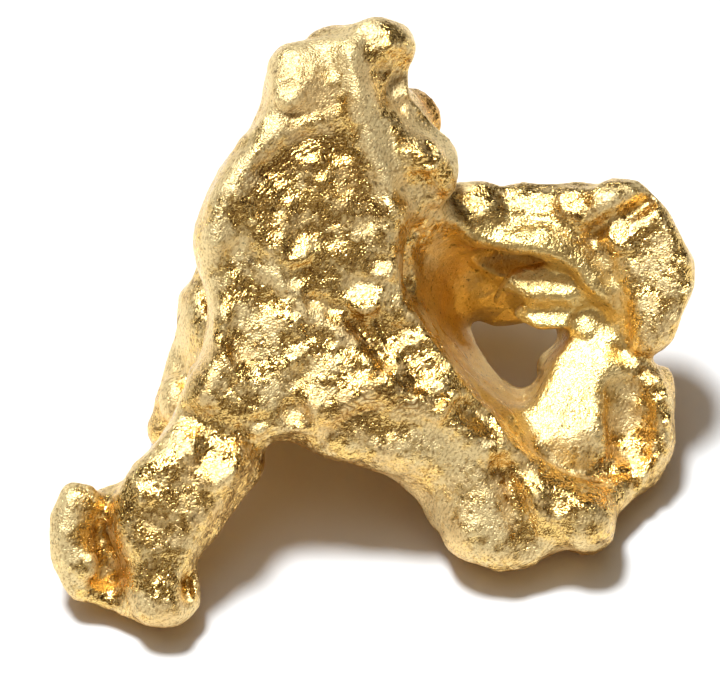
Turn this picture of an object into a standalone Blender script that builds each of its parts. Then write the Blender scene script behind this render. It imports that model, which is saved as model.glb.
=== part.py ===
"""A small native gold nugget that stands on three lumpy feet.

It is modelled in millimetres in the frame of its broad face: u runs right, v up along the face
and w out of the face. At the end the face is leaned back, the feet are set on the ground and the
whole is shrunk to metres.
"""

import math

import bmesh
import bpy
import numpy as np
from mathutils import Matrix, Vector, noise
from mathutils.bvhtree import BVHTree

# ---------------------------------------------------------------- driving dimensions (mm, degrees)
FACE_LEAN = 40.0  # the broad face's rise off level
FACE_TURN = 7.0  # the face turns away to the right
FACE_DEPTH = -0.6  # where the middle of the face's thickness lies at u = 0
FACE_HALF = 1.15  # half the thickness of the broad face
RIM_ROUND = 0.85  # radius of the face's water-worn rim
VOXEL = 0.13  # the grain at which the forms are fused
TRIANGLES = 8000  # in the finished solid
FOOT_WEAR = 0.1  # how deep the lowest points of the feet are worn flat
TO_METRES = 0.001

FUNNEL_STEPS = 8
BOWL = 1.5  # 1 for a straight-sided funnel, more for a bowl
LIT = 65.0  # turns a form's thin v axis so that its flat side faces up and a little forward

# The broad face seen square on, clockwise from the top: (u, v).
FACE_OUTLINE = [
    # top knob and the right shoulder
    (-0.6, 17.3), (0.3, 17.7), (1.1, 17.5), (1.6, 16.95), (1.4, 16.2), (1.5, 15.6), (2.5, 14.3),
    (2.85, 13.6), (2.6, 12.6),
    # the crest above the hollow, down to the right foot
    (1.35, 11.7), (1.2, 10.6), (1.7, 9.5), (2.9, 7.8), (4.8, 5.7), (5.8, 4.95), (6.9, 4.6),
    (7.25, 3.3), (6.7, 2.7), (5.8, 2.8), (4.9, 2.4), (3.8, 2.2), (2.6, 2.8), (1.9, 3.9), (0.8, 4.95),
    # the arch between the feet
    (-1.1, 5.5), (-2.1, 5.9), (-3.0, 5.2), (-3.4, 4.4), (-4.5, 2.9), (-4.75, 1.9),
    # the left foot and the left side
    (-4.8, 1.0), (-5.6, 0.62), (-6.4, 1.0), (-6.5, 2.2), (-7.0, 3.5), (-6.6, 4.9), (-5.3, 6.3),
    (-4.85, 7.5), (-4.2, 9.2), (-4.6, 11.7), (-3.85, 13.5), (-2.8, 15.0), (-2.6, 16.1), (-1.8, 16.95),
]

# The cup: its mouth and its throat, point for point, then the smooth ramp at its lower right, about
# its own middle: (u, v).
CUP_MOUTH = [
    (2.2, 12.7), (1.2, 11.9), (1.1, 10.4), (1.6, 9.2), (2.6, 7.9), (3.8, 6.7), (4.7, 6.4), (5.2, 7.1),
    (5.5, 8.0), (6.2, 8.7), (7.1, 10.2), (6.6, 11.5), (5.2, 12.0), (3.3, 12.2),
]
CUP_THROAT = [
    (3.5, 9.8), (3.25, 9.5), (3.2, 9.1), (3.4, 8.7), (3.8, 8.1), (4.3, 7.5), (4.7, 7.4), (5.0, 7.5),
    (5.3, 8.0), (5.7, 8.7), (5.6, 9.0), (5.2, 9.1), (4.6, 9.1), (3.9, 9.6),
]
RAMP_MIDDLE = (5.6, 7.6, -0.45)
RAMP_OUTLINE = [
    (-1.6, 0.2), (-0.9, 2.0), (0.4, 2.9), (1.4, 2.5), (1.6, 0.9), (1.4, -0.8), (1.1, -2.0), (0.4, -2.9),
    (-0.4, -2.2), (-1.1, -1.0),
]
RAMP_TIPS = (-25.0, -11.0)  # up and to the left, in degrees

# The hole through the cup's floor and the flat ear at its upper right: (u, v).
HOLE_OUTLINE = [
    (3.2, 9.3), (3.9, 9.05), (5.6, 9.05), (5.7, 8.7), (5.1, 8.1), (4.95, 7.4), (4.4, 7.5), (3.3, 8.6),
]
EAR_OUTLINE = [
    (6.6, 11.9), (6.8, 12.9), (7.6, 13.2), (8.5, 12.65), (9.25, 11.6), (9.5, 10.4), (9.15, 9.2), (8.6, 8.4),
    (7.8, 8.4), (7.6, 9.4), (7.3, 10.6),
]

# Ridges (height > 0) and dishes or creases (height < 0) of the front: height, reach, path of (u, v).
STROKES = [
    # the smooth left rim, the terrace under the top knob and the dish below it
    (0.3, 0.8, [(-2.2, 15.6), (-2.7, 14.5), (-3.8, 13.0), (-4.15, 11.6)]),
    (0.12, 0.45, [(-2.8, 13.7), (-2.1, 14.35), (-1.3, 14.8), (-0.4, 14.95)]),
    (-0.2, 0.8, [(-2.3, 13.4), (-1.4, 13.9), (-0.6, 14.0)]),
    (-0.12, 0.4, [(-2.8, 13.2), (-2.2, 13.9), (-1.3, 14.35)]),
    # the ridge down the neck, the groove and the hollow beside it
    (0.35, 0.6, [(-0.2, 16.8), (0.0, 15.6), (0.35, 14.3), (0.8, 13.2)]),
    (-0.7, 0.8, [(1.25, 16.2), (1.05, 15.7), (1.7, 14.9), (2.4, 14.3)]),
    (0.4, 0.7, [(1.9, 13.9)]),
    (-0.6, 0.8, [(1.7, 12.9), (2.1, 12.4)]),
    (-0.3, 0.35, [(0.6, 16.25)]),
    # the crest beside the cup
    (0.3, 0.7, [(1.0, 12.4), (1.0, 11.0), (1.4, 9.9), (2.0, 8.6), (3.3, 7.2), (4.5, 5.7)]),
    # the middle of the face: a bench, the cleft above it and the shallow troughs to the left
    (-0.35, 0.5, [(-1.4, 11.5), (-1.35, 10.9), (-1.6, 10.3)]),
    (-0.3, 0.7, [(-3.3, 10.9), (-2.6, 9.6), (-3.2, 8.6)]),
    (-0.35, 0.5, [(-1.3, 9.8), (-0.4, 9.3), (0.3, 9.0), (0.8, 8.2)]),
    (0.25, 0.8, [(-3.9, 9.2), (-4.1, 8.2), (-4.4, 7.2)]),
    (0.3, 0.8, [(-2.3, 11.9), (-1.9, 11.2)]),
    # the fold above the arch and the hollow right of it
    (0.5, 1.0, [(-1.0, 6.9), (0.2, 7.4), (1.4, 7.2), (2.4, 6.8), (3.6, 6.0)]),
    (-0.8, 1.8, [(-0.6, 5.2), (0.8, 4.8), (1.8, 4.1)]),
    (-0.45, 0.6, [(3.1, 6.7), (3.7, 6.3)]),
    # between the legs and the toe
    (-0.35, 0.7, [(-4.6, 6.6), (-3.6, 6.1), (-2.8, 5.9)]),
    (-0.3, 0.6, [(4.1, 5.1), (4.4, 4.0), (4.7, 3.0)]),
    (0.25, 0.7, [(5.2, 4.4), (6.2, 4.1)]),
    # the claw's slit and the groove across the ear
    (-0.8, 0.3, [(-4.75, 1.55), (-4.75, 2.0)]),
    (-0.6, 0.35, [(6.6, 11.7), (7.3, 12.1), (8.2, 12.6)]),
]

# Flat facets of the front: how far each tips up to the sky (0 looks straight out), reach, middle (u, v).
FACETS = [
    (0.0, 1.5, (-1.3, 12.8)), (0.0, 1.0, (-2.4, 12.2)), (0.0, 0.7, (-0.2, 13.2)), (0.0, 0.9, (-0.4, 11.4)),
    (1.0, 0.7, (0.15, 10.0)), (1.0, 0.45, (0.65, 10.8)), (1.0, 0.85, (1.55, 8.6)), (1.0, 0.8, (2.0, 7.8)),
    (1.0, 0.5, (-0.65, 9.5)), (1.0, 0.5, (-1.7, 11.3)), (0.8, 0.6, (-1.0, 8.8)), (0.8, 0.6, (-1.8, 8.3)),
    (0.8, 0.7, (-1.3, 7.5)), (0.8, 0.6, (-1.8, 6.6)), (1.0, 0.9, (-3.9, 5.3)), (0.8, 0.5, (-4.9, 5.8)),
    (1.0, 1.0, (-1.9, 16.2)), (0.8, 0.55, (-5.8, 4.6)), (1.0, 0.6, (1.95, 13.9)), (1.0, 0.6, (7.3, 11.8)),
    (1.0, 0.6, (5.2, 10.4)), (1.0, 0.5, (6.1, 10.2)), (1.0, 0.45, (5.5, 9.45)), (0.7, 0.7, (5.6, 4.1)),
    (1.0, 0.8, (3.2, 12.7)), (1.0, 0.8, (4.6, 12.7)), (0.9, 0.7, (6.0, 12.6)),
]
TIP = (0.12, -0.47)  # the rise along u and v of a facet that is tipped all the way

# Lumps and shallow pits of the whole skin.
LUMP_SIZE = 1.5
LUMP_HEIGHT = 0.13
BACK_LUMPS = 1.5  # how much higher the lumps stand on the unworn back
PIT_SIZE = 0.8
PIT_DEPTH = 0.06

GOLD_COLOUR = (0.84, 0.6, 0.24, 1.0)
GOLD_ROUGHNESS = 0.38


def clear_scene():
    for old in list(bpy.data.objects):
        bpy.data.objects.remove(old)


# ---------------------------------------------------------------- forms

def lump(at, radii, turn=(0.0, 0.0, 0.0)):
    """An ellipsoid at (u, v, w), turned about the u, v and w axes in degrees."""
    mesh = bpy.data.meshes.new("lump")
    bm = bmesh.new()
    bmesh.ops.create_icosphere(bm, subdivisions=4, radius=1.0)
    bm.to_mesh(mesh)
    bm.free()
    spin = Matrix.Identity(4)
    for angle, axis in zip(turn, "XYZ"):
        spin = Matrix.Rotation(math.radians(angle), 4, axis) @ spin
    mesh.transform(Matrix.Translation(at) @ spin @ Matrix.Diagonal((*radii, 1.0)))
    return linked("lump", mesh)


def limb(*stations):
    """A round limb with rounded ends through stations (u, v, w, radius)."""
    curve = bpy.data.curves.new("limb", "CURVE")
    curve.dimensions = "3D"
    curve.bevel_depth = 1.0
    curve.bevel_resolution = 6
    curve.use_fill_caps = True
    curve.resolution_u = 8
    spline = curve.splines.new("BEZIER")
    spline.bezier_points.add(len(stations) - 1)
    for point, (u, v, w, radius) in zip(spline.bezier_points, stations):
        point.co = (u, v, w)
        point.radius = radius
        point.handle_left_type = point.handle_right_type = "AUTO"
    tube = bpy.data.objects.new("limb", curve)
    bpy.context.scene.collection.objects.link(tube)
    ends = [lump((u, v, w), (radius,) * 3) for u, v, w, radius in (stations[0], stations[-1])]
    return [linked("limb", meshed(tube)), *ends]


def slab(outline, half, rim, place):
    """A filled outline with a rounded rim, half as thick each way, put in place by a matrix."""
    curve = bpy.data.curves.new("slab", "CURVE")
    curve.dimensions = "2D"
    curve.fill_mode = "BOTH"
    curve.extrude = half - rim
    curve.bevel_depth = rim
    curve.offset = -rim
    curve.bevel_resolution = 5
    curve.resolution_u = 6
    spline = curve.splines.new("BEZIER")
    spline.use_cyclic_u = True
    spline.bezier_points.add(len(outline) - 1)
    for point, (u, v) in zip(spline.bezier_points, outline):
        point.co = (u, v, 0.0)
        point.handle_left_type = point.handle_right_type = "AUTO"
    plate = bpy.data.objects.new("slab", curve)
    bpy.context.scene.collection.objects.link(plate)
    mesh = meshed(plate)
    mesh.transform(place)
    return linked("slab", mesh)


def funnel(mouth, throat, top, bottom):
    """A bowl that narrows downward from the mouth's outline to the throat's."""
    bm = bmesh.new()
    rings = []
    for step in range(FUNNEL_STEPS + 1):
        depth = step / FUNNEL_STEPS
        share = depth**BOWL
        w = top + (bottom - top) * depth
        rings.append([bm.verts.new((u0 + (u1 - u0) * share, v0 + (v1 - v0) * share, w))
                      for (u0, v0), (u1, v1) in zip(mouth, throat)])
    for upper, lower in zip(rings, rings[1:]):
        for i in range(len(mouth)):
            bm.faces.new((upper[i - 1], upper[i], lower[i], lower[i - 1]))
    bm.faces.new(rings[0])
    bm.faces.new(rings[-1])
    bmesh.ops.recalc_face_normals(bm, faces=bm.faces)
    mesh = bpy.data.meshes.new("funnel")
    bm.to_mesh(mesh)
    bm.free()
    return linked("funnel", mesh)


def linked(name, mesh):
    obj = bpy.data.objects.new(name, mesh)
    bpy.context.scene.collection.objects.link(obj)
    return obj


def meshed(obj):
    """The object's evaluated mesh; the object itself is removed."""
    bpy.context.view_layer.update()
    graph = bpy.context.evaluated_depsgraph_get()
    mesh = bpy.data.meshes.new_from_object(obj.evaluated_get(graph))
    bpy.data.objects.remove(obj)
    return mesh


def flattened(forms):
    """A list of forms and lists of forms as one flat list."""
    return [x for form in forms for x in (flattened(form) if isinstance(form, list) else [form])]


def fuse(name, forms):
    """One closed skin around overlapping forms."""
    bm = bmesh.new()
    for form in flattened(forms):
        bm.from_mesh(form.data)
        bpy.data.objects.remove(form)
    mesh = bpy.data.meshes.new(name)
    bm.to_mesh(mesh)
    bm.free()
    body = linked(name, mesh)
    remesh = body.modifiers.new("fuse", "REMESH")
    remesh.mode = "VOXEL"
    remesh.voxel_size = VOXEL
    remesh.adaptivity = 0.0
    return linked(name, meshed(body))


def carve(body, cutter):
    cut = body.modifiers.new("carve", "BOOLEAN")
    cut.operation = "DIFFERENCE"
    cut.object = cutter
    name = body.name
    mesh = meshed(body)
    bpy.data.objects.remove(cutter)
    return linked(name, mesh)


def soften(body, passes):
    smooth = body.modifiers.new("soften", "SMOOTH")
    smooth.factor = 0.5
    smooth.iterations = passes
    return linked(body.name, meshed(body))


# ---------------------------------------------------------------- the nugget's forms

def cup():
    """The cup on the right: a rough bowl with two ears, open in front and pierced below."""
    wall = [
        lump((4.9, 9.4, -3.6), (3.1, 3.3, 2.3), (12, 8, 0)),
        lump((2.9, 9.4, -3.0), (2.3, 3.1, 2.1)),
        lump((1.9, 11.6, -2.0), (1.3, 1.3, 1.2)),
        lump((5.9, 6.7, -2.8), (1.9, 2.5, 1.45), (0, 0, 12)),
        lump((4.4, 6.0, -2.3), (1.3, 1.3, 1.2)),
        lump((7.7, 6.3, -3.0), (1.35, 2.1, 1.1)),
    ]
    ramp = Matrix.Translation(RAMP_MIDDLE)
    for angle, axis in zip(RAMP_TIPS, "XY"):
        ramp @= Matrix.Rotation(math.radians(angle), 4, axis)
    hollows = [
        funnel(CUP_MOUTH, CUP_THROAT, 1.0, -5.0),
        lump((4.4, 11.0, -2.9), (1.2, 0.55, 0.9)),
        slab(RAMP_OUTLINE, 1.6, 0.3, ramp),
        slab(HOLE_OUTLINE, 4.0, 0.2, Matrix.Translation((0, 0, -5.8))),
        limb((7.6, 7.3, -1.9, 0.7), (7.7, 6.3, -1.9, 0.8), (7.6, 5.4, -1.8, 0.65)),
    ]
    return carve(fuse("cup", wall), fuse("hollows", hollows))


def cup_rim():
    """The ledge along the top of the cup, its two ears and the lips inside it."""
    ear = slab(EAR_OUTLINE, 0.75, 0.55, Matrix.Translation((0, 0, -2.4)))
    ledge = [lump((u, v, w), (1.3, 0.42, 0.85), (LIT, 0, 0)) for u, v, w in
             ((3.3, 12.5, -2.3), (4.8, 12.45, -2.6), (6.2, 12.45, -2.5))]
    return [
        ledge,
        ear,
        limb((6.2, 12.3, -2.5, 0.7), (7.1, 12.4, -2.3, 0.85)),
        limb((8.6, 7.6, -3.3, 0.45), (8.65, 6.6, -3.3, 0.42), (8.4, 5.5, -3.0, 0.45), (7.8, 4.75, -2.6, 0.5),
             (7.0, 4.3, -2.0, 0.6)),
        limb((3.9, 9.8, -3.3, 0.25), (4.3, 10.3, -2.8, 0.25), (5.2, 10.65, -2.7, 0.3), (6.1, 10.5, -2.6, 0.3),
             (6.9, 10.1, -2.4, 0.4)),
        lump((5.4, 10.25, -2.7), (1.4, 0.3, 0.7), (LIT, 0, -8)),
        lump((5.5, 9.45, -2.9), (1.3, 0.3, 0.5), (LIT, 0, 0)),
    ]


def broad_face():
    place = Matrix.Translation((0, 0, FACE_DEPTH)) @ Matrix.Rotation(math.radians(FACE_TURN), 4, "Y")
    return [
        slab(FACE_OUTLINE, FACE_HALF, RIM_ROUND, place),
        lump((-1.0, 12.3, -1.4), (2.5, 4.0, 1.5), (0, 6, -14)),
        lump((-1.6, 8.6, -1.2), (2.7, 2.6, 1.5)),
        lump((-4.0, 7.1, -1.6), (0.85, 1.3, 1.0)),
        lump((-1.55, 16.1, -0.2), (1.05, 0.95, 1.05)),
        lump((0.75, 16.9, -1.0), (0.85, 0.75, 0.9)),
        lump((-0.3, 17.0, -0.9), (1.2, 0.6, 0.8)),
    ]


def left_foot():
    """The left leg's bulb, its claw and the hooked knob beside it."""
    return [
        limb((-4.0, 5.6, -0.7, 1.5), (-5.0, 4.0, -0.4, 1.45), (-5.5, 2.6, -0.1, 1.05), (-5.5, 1.85, 0.0, 1.15)),
        limb((-5.2, 1.15, 0.1, 0.5), (-4.7, 1.35, 0.1, 0.38), (-4.5, 1.8, 0.0, 0.2)),
        limb((-7.75, 4.15, 0.0, 0.66), (-8.0, 3.4, 0.05, 0.7), (-7.95, 2.7, 0.0, 0.66)),
        lump((-7.55, 2.5, 0.35), (0.36, 0.45, 0.35)),
        limb((-8.1, 2.4, -0.15, 0.5), (-7.8, 1.8, -0.2, 0.42), (-7.2, 1.55, -0.2, 0.32), (-6.3, 1.3, -0.1, 0.5)),
        limb((-7.6, 4.0, -0.5, 0.5), (-6.4, 4.2, -0.7, 0.7)),
        lump((-7.1, 2.8, -0.75), (0.8, 1.4, 0.4)),
    ]


def right_foot():
    """The right leg's heel, which touches the ground, and the toe that juts past it."""
    return [
        limb((1.8, 6.0, -1.2, 1.2), (3.0, 4.6, -1.2, 1.25), (4.0, 3.3, -1.32, 1.15)),
        limb((4.2, 4.2, -1.3, 1.2), (5.3, 4.0, -1.0, 1.1), (6.3, 3.65, -0.75, 0.9)),
    ]


def back():
    """What carries the nugget from behind: a rear foot, the left wing and the lobe by the shoulder."""
    rear_foot = [
        limb((-1.0, 12.3, -1.8, 1.5), (-0.2, 10.9, -3.2, 1.45), (0.5, 9.7, -4.4, 1.15), (0.5, 8.9, -5.7, 0.95)),
        lump((1.3, 10.3, -4.1), (1.5, 1.1, 1.0), (20, 0, 30)),
        lump((-0.6, 9.4, -4.6), (0.8, 0.9, 1.1), (0, 20, 0)),
        lump((0.75, 8.65, -6.45), (1.0, 0.75, 0.85), (30, 0, 0)),
        lump((1.1, 9.0, -5.9), (0.75, 0.8, 0.9)),
    ]
    left_wing = [
        limb((-5.4, 6.2, -4.4, 0.65), (-5.0, 7.5, -4.4, 0.6), (-4.4, 9.6, -4.6, 0.65), (-3.2, 11.2, -3.9, 1.0),
             (-2.0, 11.8, -2.6, 1.3)),
        lump((-4.4, 8.5, -3.4), (0.6, 1.9, 1.7), (0, 12, 12)),
        lump((-3.7, 9.9, -3.4), (1.0, 1.4, 1.5), (0, 25, 20)),
        lump((-5.1, 6.9, -3.7), (0.55, 0.9, 0.9), (30, 0, 10)),
    ]
    return [
        rear_foot,
        left_wing,
        lump((-2.3, 10.6, -2.9), (1.6, 1.5, 1.0), (15, 10, 0)),
        lump((1.45, 14.9, -2.6), (0.95, 1.05, 0.45)),
        lump((0.9, 14.2, -1.9), (1.3, 1.8, 0.9)),
        lump((0.0, 13.4, -2.3), (1.5, 1.2, 1.0), (0, 0, 35)),
        lump((3.9, 10.6, -4.9), (1.9, 1.2, 1.0), (25, 0, 20)),
        lump((3.2, 11.3, -5.2), (1.7, 1.5, 1.2), (35, 0, 0)),
        lump((1.7, 11.2, -5.0), (1.3, 1.2, 1.1), (20, 0, 40)),
        lump((4.3, 12.0, -4.6), (1.1, 1.0, 0.9)),
        lump((7.2, 8.6, -3.9), (1.1, 1.6, 1.0), (0, 25, -20)),
    ]


# ---------------------------------------------------------------- relief

def spaced(path, gap):
    """Points every gap along a path of (u, v)."""
    spots = [path[0]]
    for (u0, v0), (u1, v1) in zip(path, path[1:]):
        steps = max(1, round(math.hypot(u1 - u0, v1 - v0) / gap))
        spots += [(u0 + (u1 - u0) * i / steps, v0 + (v1 - v0) * i / steps) for i in range(1, steps + 1)]
    return spots


def on_front(tree, spots):
    """Where the spots (u, v) meet the nugget's front."""
    ahead = 20.0
    hits = [tree.ray_cast(Vector((u, v, ahead)), Vector((0, 0, -1)))[0] for u, v in spots]
    return np.array([hit for hit in hits if hit is not None])


def nearness(points, spots, reach):
    """1 on the spots, falling smoothly to 0 at the reach."""
    near = np.full(len(points), np.inf)
    for spot in spots:
        near = np.minimum(near, ((points - spot) ** 2).sum(1))
    return np.clip(1.0 - near / reach**2, 0.0, 1.0) ** 2


def work_front(body):
    """Raises the ridges, presses the dishes and creases and flattens the facets of the front."""
    mesh = body.data
    tree = BVHTree.FromObject(body, bpy.context.evaluated_depsgraph_get())
    points = np.array([v.co for v in mesh.vertices])
    rise = np.zeros(len(points))
    for height, reach, path in STROKES:
        rise += height * nearness(points, on_front(tree, spaced(path, reach / 3)), reach)
    points[:, 2] += rise
    for tip, reach, at in FACETS:
        spot = on_front(tree, [at])
        away = points - spot[0]
        facet = tip * (TIP[0] * away[:, 0] + TIP[1] * away[:, 1])
        points[:, 2] += (facet - away[:, 2]) * np.sqrt(nearness(points, spot, reach))
    mesh.vertices.foreach_set("co", points.ravel())
    mesh.update()
    return body


def weather(body):
    """The lumps and shallow pits that stream travel beats into the whole skin."""
    mesh = body.data
    for vertex, normal in zip(mesh.vertices, [Vector(n.vector) for n in mesh.vertex_normals]):
        broad = noise.fractal(vertex.co / LUMP_SIZE, 0.9, 2.1, 3)
        small = noise.ridged_multi_fractal(vertex.co / PIT_SIZE, 0.9, 2.2, 2, 0.9, 1.4)
        height = LUMP_HEIGHT * (1.0 + BACK_LUMPS * max(0.0, -normal.z))
        vertex.co += normal * (height * broad + PIT_DEPTH * (small - 1.0))
    mesh.update()
    return body


def largest_shell(body):
    """Drops the skins of sealed pockets, which a nugget may hide but a solid may not."""
    bm = bmesh.new()
    bm.from_mesh(body.data)
    left = set(bm.verts)
    shells = []
    while left:
        front = [left.pop()]
        shell = list(front)
        while front:
            near = {e.other_vert(v) for v in front for e in v.link_edges} & left
            left -= near
            front = list(near)
            shell += front
        shells.append(shell)
    shells.sort(key=len)
    bmesh.ops.delete(bm, geom=[v for shell in shells[:-1] for v in shell], context="VERTS")
    bm.to_mesh(body.data)
    bm.free()
    return body


def thin(body, triangles):
    count = sum(len(p.vertices) - 2 for p in body.data.polygons)
    decimate = body.modifiers.new("thin", "DECIMATE")
    decimate.ratio = triangles / count
    decimate.use_collapse_triangulate = True
    return linked(body.name, meshed(body))


def stand(body):
    """Leans the face back, drops the nugget on its feet and wears their lowest points flat."""
    mesh = body.data
    mesh.transform(Matrix.Rotation(math.radians(FACE_LEAN), 4, "X"))
    corners = np.array([v.co for v in mesh.vertices])
    low, high = corners.min(0), corners.max(0)
    middle = (low + high) / 2
    mesh.transform(Matrix.Translation((-middle[0], -middle[1], -low[2] - FOOT_WEAR)))
    bm = bmesh.new()
    bm.from_mesh(mesh)
    bmesh.ops.bisect_plane(bm, geom=[*bm.verts, *bm.edges, *bm.faces], plane_co=(0, 0, 0), plane_no=(0, 0, 1),
                           clear_inner=True, dist=1e-5)
    bmesh.ops.triangle_fill(bm, edges=[e for e in bm.edges if e.is_boundary], use_dissolve=False)
    bmesh.ops.triangulate(bm, faces=bm.faces)
    bmesh.ops.recalc_face_normals(bm, faces=bm.faces)
    bm.to_mesh(mesh)
    bm.free()
    mesh.transform(Matrix.Scale(TO_METRES, 4))
    mesh.shade_smooth()
    return body


def native_gold():
    """Bare gold, warm and a little rough from the stream bed."""
    gold = bpy.data.materials.new("native_gold")
    gold.use_nodes = True
    finish = gold.node_tree.nodes["Principled BSDF"].inputs
    finish["Base Color"].default_value = GOLD_COLOUR
    finish["Metallic"].default_value = 1.0
    finish["Roughness"].default_value = GOLD_ROUGHNESS
    gold.diffuse_color = GOLD_COLOUR
    return gold


def main():
    clear_scene()
    nugget = fuse("nugget", [cup(), cup_rim(), broad_face(), left_foot(), right_foot(), back()])
    nugget = soften(largest_shell(nugget), 5)
    nugget = soften(weather(work_front(nugget)), 2)
    nugget = stand(thin(nugget, TRIANGLES))
    nugget.name = "nugget"
    nugget.data.materials.append(native_gold())


main()
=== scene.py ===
# %% [markdown]
# # A gold nugget
# A nugget is one piece of native gold. It grew in a vein of rock, broke out, and was rolled in a
# stream bed, so its proud rims are beaten smooth while its hollows keep the rough skin they grew
# with. The solid model has the lumps, the cup and the feet. This script gives it its skin: the
# creases, ledges and facets as real geometry, and the grain as a material.

import math

import bmesh
import bpy
import numpy as np
from mathutils import Matrix, Vector, noise
from mathutils.bvhtree import BVHTree


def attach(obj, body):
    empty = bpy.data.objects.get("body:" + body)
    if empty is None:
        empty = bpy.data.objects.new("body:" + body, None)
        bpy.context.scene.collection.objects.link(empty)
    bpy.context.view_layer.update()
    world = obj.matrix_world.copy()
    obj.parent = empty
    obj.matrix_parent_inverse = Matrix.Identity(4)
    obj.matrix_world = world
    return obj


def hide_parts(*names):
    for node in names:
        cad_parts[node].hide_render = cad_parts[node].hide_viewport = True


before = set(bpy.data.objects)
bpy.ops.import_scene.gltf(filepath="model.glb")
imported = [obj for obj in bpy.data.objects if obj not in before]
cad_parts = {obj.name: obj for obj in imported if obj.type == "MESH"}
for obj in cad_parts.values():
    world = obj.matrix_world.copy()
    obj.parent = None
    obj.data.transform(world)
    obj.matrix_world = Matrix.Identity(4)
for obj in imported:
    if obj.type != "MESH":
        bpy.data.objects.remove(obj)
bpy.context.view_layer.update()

# %% [markdown]
# ## Working in millimetres, on the broad face
# The broad face leans back, which makes it awkward to work on in the standing frame. A matrix takes
# points to the face's own frame and back: u to the right, v up along the face and w out of it, all in
# millimetres. A spot on the nugget's front is then just a (u, v), like a place on a drawing.

# %% The face's frame
MM = 0.001
FACE_LEAN = math.radians(40.0)
FACE_ORIGIN = Vector((-0.385, -7.37, -0.05)) * MM

face_to_world = Matrix.Translation(FACE_ORIGIN) @ Matrix.Rotation(FACE_LEAN, 4, "X") @ Matrix.Scale(MM, 4)
world_to_face = face_to_world.inverted()
print("the face's middle stands at", face_to_world @ Vector((0, 9, 0)))

# %% [markdown]
# ## A skin fine enough to work
# The solid has about eight thousand large triangles. Subdividing them would keep their edges, so the
# copy is remeshed into even small squares instead, and smoothed until the old triangles are gone. The
# even squares also take strokes equally well everywhere, as clay does. They are as small as a mesh of
# under two hundred thousand triangles allows.

# %% A fine copy of the solid
SKIN_GRAIN = 0.097  # mm, a square's side
SMOOTH_STEP = 0.5  # each pass takes a point half way to the middle of its neighbours
SMOOTHING = 9


def modified(obj, kind, **settings):
    """Applies one modifier to an object."""
    modifier = obj.modifiers.new(kind.lower(), kind)
    for key, value in settings.items():
        setattr(modifier, key, value)
    bpy.context.view_layer.update()
    mesh = bpy.data.meshes.new_from_object(obj.evaluated_get(bpy.context.evaluated_depsgraph_get()))
    obj.modifiers.clear()
    obj.data = mesh


skin = bpy.data.objects.new("nugget_skin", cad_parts["nugget"].data.copy())
bpy.context.scene.collection.objects.link(skin)
skin.data.transform(world_to_face)
modified(skin, "REMESH", mode="VOXEL", voxel_size=SKIN_GRAIN)
modified(skin, "SMOOTH", factor=SMOOTH_STEP, iterations=SMOOTHING)
print("skin has", len(skin.data.polygons), "squares")

# %% [markdown]
# ## Reading and moving the skin's points
# A mesh has one list of points and one of normals. Taken out as arrays, all hundred thousand points
# can be moved by one line of sums, which is far quicker than a loop over them.

# %% Points and normals as arrays
def points_of(mesh):
    found = np.empty(len(mesh.vertices) * 3)
    mesh.vertices.foreach_get("co", found)
    return found.reshape(-1, 3)


def normals_of(mesh):
    found = np.empty(len(mesh.vertices) * 3)
    mesh.vertex_normals.foreach_get("vector", found)
    return found.reshape(-1, 3)


def move(mesh, points):
    mesh.vertices.foreach_set("co", points.ravel())
    mesh.update()


points = points_of(skin.data)
print("the skin spans", points.min(axis=0).round(1), "to", points.max(axis=0).round(1), "mm on the face")

# %% [markdown]
# ## Strokes and facets
# A sculptor would draw the crests and creases with a brush. Here a stroke is a height, a reach and a
# path of (u, v) spots. The path is dropped onto the skin, and each point near it moves out along w
# by the height, less as it gets further away. A facet is pressed flat onto a plane instead.

# %% Finding what is near a path on the front
ABOVE = 20.0  # mm, further out than any part of the front
SPOTS_A_REACH = 3


def spaced(path, gap):
    """Spots every gap along a path of (u, v)."""
    spots = [path[0]]
    for (u0, v0), (u1, v1) in zip(path, path[1:]):
        steps = max(1, round(math.hypot(u1 - u0, v1 - v0) / gap))
        spots += [(u0 + (u1 - u0) * i / steps, v0 + (v1 - v0) * i / steps) for i in range(1, steps + 1)]
    return spots


def nearness(points, tree, path, reach):
    """1 on the path where it meets the front, falling smoothly to 0 at the reach."""
    near = np.full(len(points), np.inf)
    for u, v in spaced(path, reach / SPOTS_A_REACH):
        hit = tree.ray_cast(Vector((u, v, ABOVE)), Vector((0, 0, -1)))[0]
        if hit is not None:
            near = np.minimum(near, ((points - np.array(hit)) ** 2).sum(1))
    return np.clip(1.0 - near / reach**2, 0.0, 1.0) ** 2


skin_tree = BVHTree.FromObject(skin, bpy.context.evaluated_depsgraph_get())
middle = skin_tree.ray_cast(Vector((0, 9, ABOVE)), Vector((0, 0, -1)))[0]
print("the face's middle is at w", round(middle.z, 2), "mm")

# %% [markdown]
# ## The dish's ledges
# Under the top the gold grew in thin sheets, whose broken edges step down into the dish like terraces.
# One edge is given as a path, and the others are copies of it, each a little further down the dish.

# %% Ledges of the dish
DISH_EDGE = [(-2.9, 13.1), (-2.3, 13.85), (-1.5, 14.3), (-0.6, 14.45)]
LEDGE_HEIGHT = 0.035
LEDGE_REACH = 0.16
LEDGE_STEP = (0.08, -0.24)
LEDGE_COUNT = 4


def ledge(step):
    """The stroke of one ledge, so many steps below the dish's edge."""
    path = [(u + LEDGE_STEP[0] * step, v + LEDGE_STEP[1] * step) for u, v in DISH_EDGE]
    return LEDGE_HEIGHT, LEDGE_REACH, path


ledges = [ledge(step) for step in range(LEDGE_COUNT)]
print(len(ledges), "ledges, the lowest from", ledges[-1][2][0])

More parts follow.
